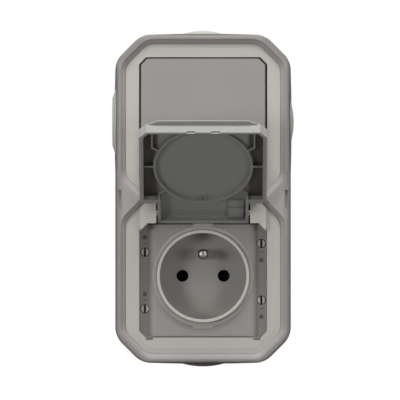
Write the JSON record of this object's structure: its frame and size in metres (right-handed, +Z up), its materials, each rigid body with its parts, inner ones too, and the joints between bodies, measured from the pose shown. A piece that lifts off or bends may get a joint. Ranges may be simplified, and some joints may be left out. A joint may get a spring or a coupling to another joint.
{
  "type": "surface-mounted switch and socket unit",
  "caption": "Grey wall unit with cut corners: a wide rocker switch above a recessed two-pole socket with an earth pin, quarter-turn locks and a hinged splash flap that stands open.",
  "frame": {"origin": "centre of the back face that lies on the wall", "axes": "+X to the viewer's right, +Y into the wall, +Z up the wall; the front faces -Y"},
  "size_m": [0.0839, 0.0889, 0.1554],
  "materials": {
    "box_grey": "fine matt moulded grey",
    "bezel_grey": "fine matt moulded mid grey",
    "surround_grey": "fine matt moulded light grey",
    "rocker_grey": "smooth satin grey",
    "flap_grey": "smooth satin grey",
    "plate_grey": "smooth satin grey",
    "well_grey": "smooth satin light grey",
    "lock_grey": "smooth satin grey",
    "shutter_dark": "dark moulded plastic",
    "inner_plastic": "plain moulded insulating plastic",
    "entry_soft": "soft pale grey-green elastomer",
    "seal_rubber": "dark soft rubber",
    "collar_rubber": "soft brown-grey rubber",
    "brass": "bare stamped brass",
    "nickel": "bright nickel plating",
    "spring_steel": "bright zinc-plated steel"
  },
  "bodies": {
    "case": {"back_box": "box_grey", "box_gasket": "seal_rubber", "front_bezel": "bezel_grey", "switch_surround": "surround_grey", "socket_surround": "surround_grey", "left_membrane": "entry_soft", "right_plug": "entry_soft", "top_plug": "entry_soft", "bottom_plug": "entry_soft", "rocker_seal": "seal_rubber", "switch_base": "inner_plastic", "contact_support": "brass", "upper_contact": "brass", "lower_contact": "brass", "switch_terminal_screws": "spring_steel", "socket_plate": "plate_grey", "socket_well": "well_grey", "well_seal": "collar_rubber", "socket_base": "inner_plastic", "earth_pin": "nickel", "earth_strap": "brass", "live_contact": "brass", "neutral_contact": "brass", "shutter_spring": "spring_steel", "socket_terminal_screws": "spring_steel", "hinge_pin_left": "spring_steel", "hinge_pin_right": "spring_steel"},
    "flap": {"flap": "flap_grey"},
    "rocker": {"rocker_cap": "rocker_grey", "rocker_cradle": "inner_plastic", "toggle_plunger": "inner_plastic", "toggle_spring": "spring_steel"},
    "contact": {"moving_contact": "brass"},
    "shutter": {"shutter": "shutter_dark"},
    "lock_upper_left": {"lock_upper_left": "lock_grey"},
    "lock_lower_left": {"lock_lower_left": "lock_grey"},
    "lock_upper_right": {"lock_upper_right": "lock_grey"},
    "lock_lower_right": {"lock_lower_right": "lock_grey"}
  },
  "joints": [
    {"name": "flap_hinge", "type": "hinge", "parent": "case", "child": "flap", "pos_m": [0, -0.051, -0.0065], "axis": [1, 0, 0], "range_deg": [0, 137]},
    {"name": "rocker_tilt", "type": "hinge", "parent": "case", "child": "rocker", "pos_m": [0, -0.0482, 0.0355], "axis": [1, 0, 0], "range_deg": [0, 6]},
    {"name": "contact_tilt", "type": "hinge", "parent": "case", "child": "contact", "pos_m": [0, -0.0284, 0.0355], "axis": [1, 0, 0], "range_deg": [-12, 0]},
    {"name": "shutter_slide", "type": "slide", "parent": "case", "child": "shutter", "axis": [1, 0, 0], "range_m": [0, 0.0064], "stiffness_N_per_m": 60, "springref_m": -0.002, "deforming": ["shutter_spring"]},
    {"name": "lock_upper_left_turn", "type": "hinge", "parent": "case", "child": "lock_upper_left", "pos_m": [-0.0267, -0.04, -0.0245], "axis": [0, -1, 0], "range_deg": [0, 90]},
    {"name": "lock_lower_left_turn", "type": "hinge", "parent": "case", "child": "lock_lower_left", "pos_m": [-0.0267, -0.04, -0.0505], "axis": [0, -1, 0], "range_deg": [0, 90]},
    {"name": "lock_upper_right_turn", "type": "hinge", "parent": "case", "child": "lock_upper_right", "pos_m": [0.0267, -0.04, -0.0205], "axis": [0, -1, 0], "range_deg": [0, 90]},
    {"name": "lock_lower_right_turn", "type": "hinge", "parent": "case", "child": "lock_lower_right", "pos_m": [0.0267, -0.04, -0.0465], "axis": [0, -1, 0], "range_deg": [0, 90]}
  ],
  "couplings": [
    {"joint": "contact_tilt", "follows": "rocker_tilt", "ratio": -2}
  ]
}
